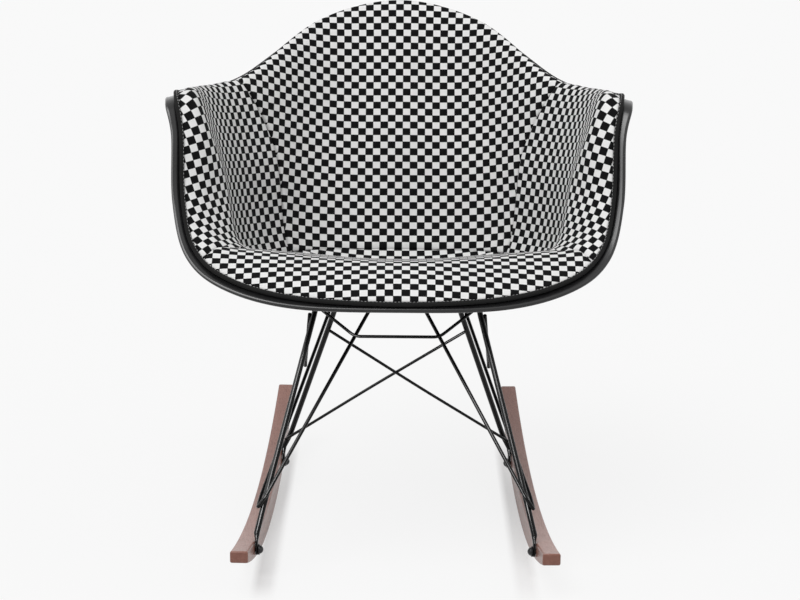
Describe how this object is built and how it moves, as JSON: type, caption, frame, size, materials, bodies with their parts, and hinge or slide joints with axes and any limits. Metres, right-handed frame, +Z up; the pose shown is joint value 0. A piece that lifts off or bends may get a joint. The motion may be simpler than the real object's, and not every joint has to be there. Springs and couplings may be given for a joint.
{
  "type": "rocking armchair",
  "caption": "Low armchair with a padded, chequered bucket seat on rubber mounts, a braced wire base and two curved wooden rockers.",
  "frame": {"origin": "on the floor, in the chair's centre plane, midway between the rockers' front and rear tips", "axes": "+Z up, the sitter faces -Y, +X to the side that is on the right in the picture"},
  "size_m": [0.6112, 0.6864, 0.6879],
  "materials": {
    "shell": "moulded, satin gloss",
    "cover": "flat woven checkerboard, black and white",
    "welt": "matte black cord",
    "mount_rubber": "matte",
    "wire": "black powder coat, satin",
    "fastener": "blackened steel",
    "rocker_wood": "oiled walnut, satin"
  },
  "bodies": {
    "root": {"seat_shell": "shell", "seat_pad": "cover", "back_pad": "cover", "arm_pad_left": "cover", "arm_pad_right": "cover", "edge_welt": "welt", "shock_mounts": "mount_rubber", "mount_plates": "wire", "mount_screws": "fastener", "front_leg_left": "wire", "front_leg_right": "wire", "rear_leg_left": "wire", "rear_leg_right": "wire", "front_top_rod": "wire", "front_brace_wire": "wire", "v_wire_left": "wire", "v_wire_right": "wire", "side_wire_left": "wire", "side_wire_right": "wire", "cross_brace_a": "wire", "cross_brace_b": "wire", "rocker_left": "rocker_wood", "rocker_right": "rocker_wood", "rocker_washers": "fastener", "rocker_bolts": "fastener"}
  },
  "joints": []
}
